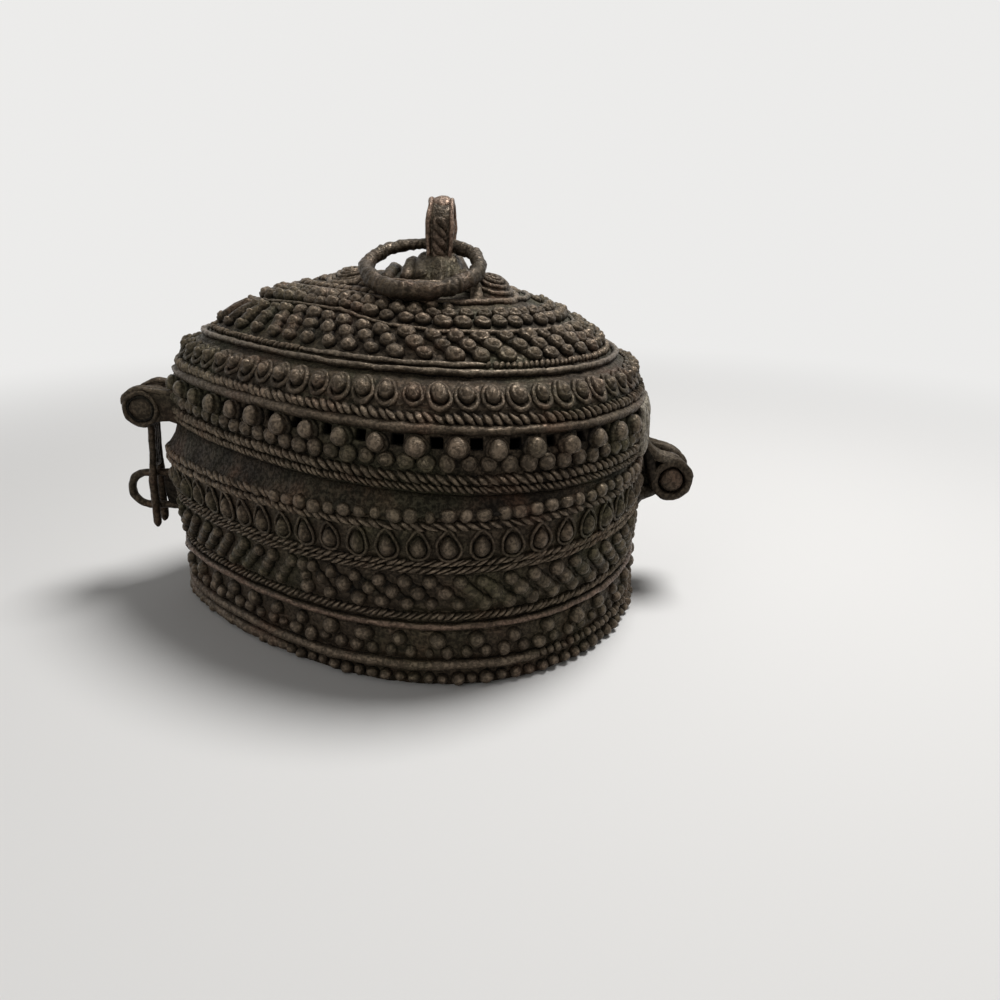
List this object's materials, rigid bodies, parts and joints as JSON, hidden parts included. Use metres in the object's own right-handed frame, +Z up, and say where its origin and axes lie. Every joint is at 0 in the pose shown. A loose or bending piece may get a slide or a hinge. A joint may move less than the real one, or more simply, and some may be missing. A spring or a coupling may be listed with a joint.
{
  "type": "beaded brass box",
  "caption": "Egg-shaped cast brass box with a domed, pierced lid on a pin hinge, a swinging hasp over a staple and a loose ring through an arch on top.",
  "frame": {"origin": "on the resting plane, under the middle of the tub's plan length and on its plane of symmetry", "axes": "+X from the pointed hasp end to the blunt hinge end, +Z up, -Y the side that the picture shows"},
  "size_m": [0.1395, 0.1034, 0.0943],
  "materials": {
    "brown_patina": "cast, aged to dark brown, rubbed lighter on what stands proud",
    "green_patina": "cast, aged to brown with olive green deposits in its recesses",
    "worn_brass": "cast, worn smooth with a soft grey-brown sheen"
  },
  "bodies": {
    "tub": {"body_shell": "brown_patina", "body_shoulder_beads": "brown_patina", "body_shoulder_rope": "brown_patina", "body_drop_band": "green_patina", "body_double_rope": "brown_patina", "body_bead_panel": "green_patina", "body_foot_rope": "brown_patina", "body_foot_ring": "worn_brass", "body_foot_balls": "brown_patina", "body_foot_ridge": "brown_patina", "body_foot_beads": "brown_patina", "hinge_body_lug": "green_patina", "hinge_pin": "worn_brass", "hasp_staple": "brown_patina"},
    "lid": {"lid_shell": "green_patina", "lid_rim_rope": "brown_patina", "lid_upper_rope": "brown_patina", "lid_small_beads": "brown_patina", "lid_belt": "worn_brass", "lid_belt_rope": "brown_patina", "lid_drop_band": "brown_patina", "lid_step_ring": "worn_brass", "lid_step_rope": "brown_patina", "crown_line_ring": "brown_patina", "crown_top_ring": "brown_patina", "hinge_lid_strap": "green_patina", "hasp_ear_front": "brown_patina", "hasp_ear_back": "brown_patina", "hasp_pin": "worn_brass", "top_pedestal": "brown_patina", "top_arch": "brown_patina", "crown_boss": "brown_patina"},
    "hasp": {"hasp_strap": "brown_patina"},
    "ring": {"top_ring": "worn_brass"}
  },
  "joints": [
    {"name": "lid_hinge", "type": "hinge", "parent": "tub", "child": "lid", "pos_m": [0.0654, 0, 0.0302], "axis": [0, 1, 0], "range_deg": [0, 105]},
    {"name": "hasp_swing", "type": "hinge", "parent": "lid", "child": "hasp", "pos_m": [-0.0613, 0, 0.0478], "axis": [0, 1, 0], "range_deg": [0, 165]},
    {"name": "ring_swing", "type": "hinge", "parent": "lid", "child": "ring", "pos_m": [0.007, 0, 0.0848], "axis": [-1, 0, 0], "range_deg": [0, 215]}
  ]
}
